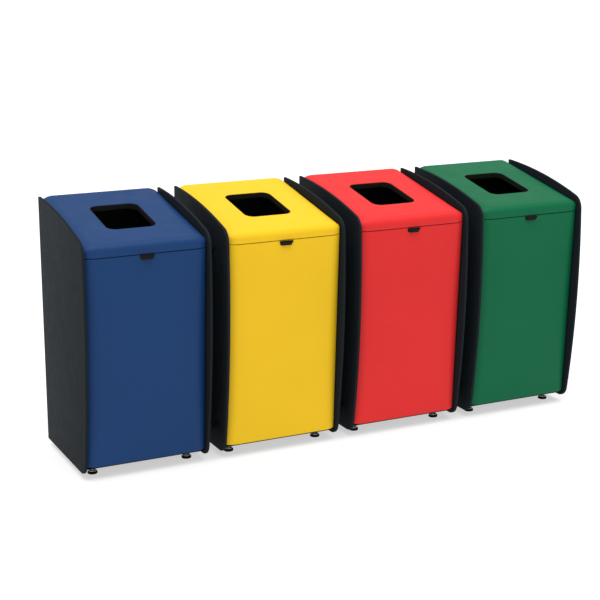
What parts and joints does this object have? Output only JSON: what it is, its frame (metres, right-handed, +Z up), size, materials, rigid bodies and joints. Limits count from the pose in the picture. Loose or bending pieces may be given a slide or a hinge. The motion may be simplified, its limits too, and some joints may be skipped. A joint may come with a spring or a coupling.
{
  "type": "recycling bin station",
  "caption": "Row of coloured litter units with proud dark side panels, sloping lift-up covers with apertures, swing doors with pull tabs, and levelling feet.",
  "frame": {"origin": "on the floor under the middle of the row", "axes": "+X along the row from the blue unit to the green one, +Y to the back, +Z up"},
  "size_m": [2.159, 0.543, 1],
  "materials": {
    "blue_paint": "satin powder coat, blue",
    "yellow_paint": "satin powder coat, yellow",
    "red_paint": "satin powder coat, red",
    "green_paint": "satin powder coat, green",
    "panel_board": "anthracite compact board, satin",
    "panel_sheet": "anthracite powder coat",
    "black_sheet": "black powder coat",
    "galvanised": "galvanised sheet",
    "bright_steel": "zinc-plated steel",
    "black_moulding": "black moulded plastic",
    "grey_moulding": "dark grey moulded plastic",
    "liner_moulding": "moulded liner, matt",
    "foot_rubber": "black rubber"
  },
  "bodies": {
    "root": {"blue_side_panel_left": "panel_board", "blue_side_panel_right": "panel_board", "blue_rear_panel": "panel_sheet", "blue_base_tray": "black_sheet", "blue_front_rail": "galvanised", "blue_liner": "liner_moulding", "yellow_side_panel_left": "panel_board", "yellow_side_panel_right": "panel_board", "yellow_rear_panel": "panel_sheet", "yellow_base_tray": "black_sheet", "yellow_front_rail": "galvanised", "yellow_liner": "liner_moulding", "red_side_panel_left": "panel_board", "red_side_panel_right": "panel_board", "red_rear_panel": "panel_sheet", "red_base_tray": "black_sheet", "red_front_rail": "galvanised", "red_liner": "liner_moulding", "green_side_panel_left": "panel_board", "green_side_panel_right": "panel_board", "green_rear_panel": "panel_sheet", "green_base_tray": "black_sheet", "green_front_rail": "galvanised", "green_liner": "liner_moulding", "magnet_catches": "black_moulding", "levelling_feet": "foot_rubber", "foot_studs": "bright_steel", "foot_nuts": "bright_steel", "panel_screws": "bright_steel", "joining_spacers": "black_moulding", "joining_bolts": "bright_steel", "joining_nuts": "bright_steel"},
    "blue_cover": {"blue_top_cover": "blue_paint", "blue_aperture_collar": "black_moulding", "blue_lid_pivots": "bright_steel"},
    "blue_door": {"blue_front_door": "blue_paint", "blue_door_pivots": "bright_steel", "blue_tab_bracket": "black_moulding"},
    "blue_tab": {"blue_pull_tab": "grey_moulding"},
    "yellow_cover": {"yellow_top_cover": "yellow_paint", "yellow_aperture_collar": "black_moulding", "yellow_lid_pivots": "bright_steel"},
    "yellow_door": {"yellow_front_door": "yellow_paint", "yellow_door_pivots": "bright_steel", "yellow_tab_bracket": "black_moulding"},
    "yellow_tab": {"yellow_pull_tab": "grey_moulding"},
    "red_cover": {"red_top_cover": "red_paint", "red_aperture_collar": "black_moulding", "red_lid_pivots": "bright_steel"},
    "red_door": {"red_front_door": "red_paint", "red_door_pivots": "bright_steel", "red_tab_bracket": "black_moulding"},
    "red_tab": {"red_pull_tab": "grey_moulding"},
    "green_cover": {"green_top_cover": "green_paint", "green_aperture_collar": "black_moulding", "green_lid_pivots": "bright_steel"},
    "green_door": {"green_front_door": "green_paint", "green_door_pivots": "bright_steel", "green_tab_bracket": "black_moulding"},
    "green_tab": {"green_pull_tab": "grey_moulding"}
  },
  "joints": [
    {"name": "blue_cover_lift", "type": "hinge", "parent": "root", "child": "blue_cover", "pos_m": [-0.8325, 0.2495, 0.95], "axis": [-1, 0, 0], "range_deg": [0, 80]},
    {"name": "blue_door_swing", "type": "hinge", "parent": "root", "child": "blue_door", "pos_m": [-1.0325, -0.20509, 0.45659], "axis": [0, 0.0637, -0.998], "range_deg": [0, 90]},
    {"name": "blue_tab_pull", "type": "hinge", "parent": "blue_door", "child": "blue_tab", "pos_m": [-0.8325, -0.26311, 0.84769], "axis": [-1, 0, 0], "range_deg": [0, 25], "stiffness_Nm_per_rad": 0.02, "springref_deg": -28.65},
    {"name": "yellow_cover_lift", "type": "hinge", "parent": "root", "child": "yellow_cover", "pos_m": [-0.2775, 0.2495, 0.95], "axis": [-1, 0, 0], "range_deg": [0, 80]},
    {"name": "yellow_door_swing", "type": "hinge", "parent": "root", "child": "yellow_door", "pos_m": [-0.4775, -0.20509, 0.45659], "axis": [0, 0.0637, -0.998], "range_deg": [0, 90]},
    {"name": "yellow_tab_pull", "type": "hinge", "parent": "yellow_door", "child": "yellow_tab", "pos_m": [-0.2775, -0.26311, 0.84769], "axis": [-1, 0, 0], "range_deg": [0, 25], "stiffness_Nm_per_rad": 0.02, "springref_deg": -28.65},
    {"name": "red_cover_lift", "type": "hinge", "parent": "root", "child": "red_cover", "pos_m": [0.2775, 0.2495, 0.95], "axis": [-1, 0, 0], "range_deg": [0, 80]},
    {"name": "red_door_swing", "type": "hinge", "parent": "root", "child": "red_door", "pos_m": [0.0775, -0.20509, 0.45659], "axis": [0, 0.0637, -0.998], "range_deg": [0, 90]},
    {"name": "red_tab_pull", "type": "hinge", "parent": "red_door", "child": "red_tab", "pos_m": [0.2775, -0.26311, 0.84769], "axis": [-1, 0, 0], "range_deg": [0, 25], "stiffness_Nm_per_rad": 0.02, "springref_deg": -28.65},
    {"name": "green_cover_lift", "type": "hinge", "parent": "root", "child": "green_cover", "pos_m": [0.8325, 0.2495, 0.95], "axis": [-1, 0, 0], "range_deg": [0, 80]},
    {"name": "green_door_swing", "type": "hinge", "parent": "root", "child": "green_door", "pos_m": [0.6325, -0.20509, 0.45659], "axis": [0, 0.0637, -0.998], "range_deg": [0, 90]},
    {"name": "green_tab_pull", "type": "hinge", "parent": "green_door", "child": "green_tab", "pos_m": [0.8325, -0.26311, 0.84769], "axis": [-1, 0, 0], "range_deg": [0, 25], "stiffness_Nm_per_rad": 0.02, "springref_deg": -28.65}
  ]
}
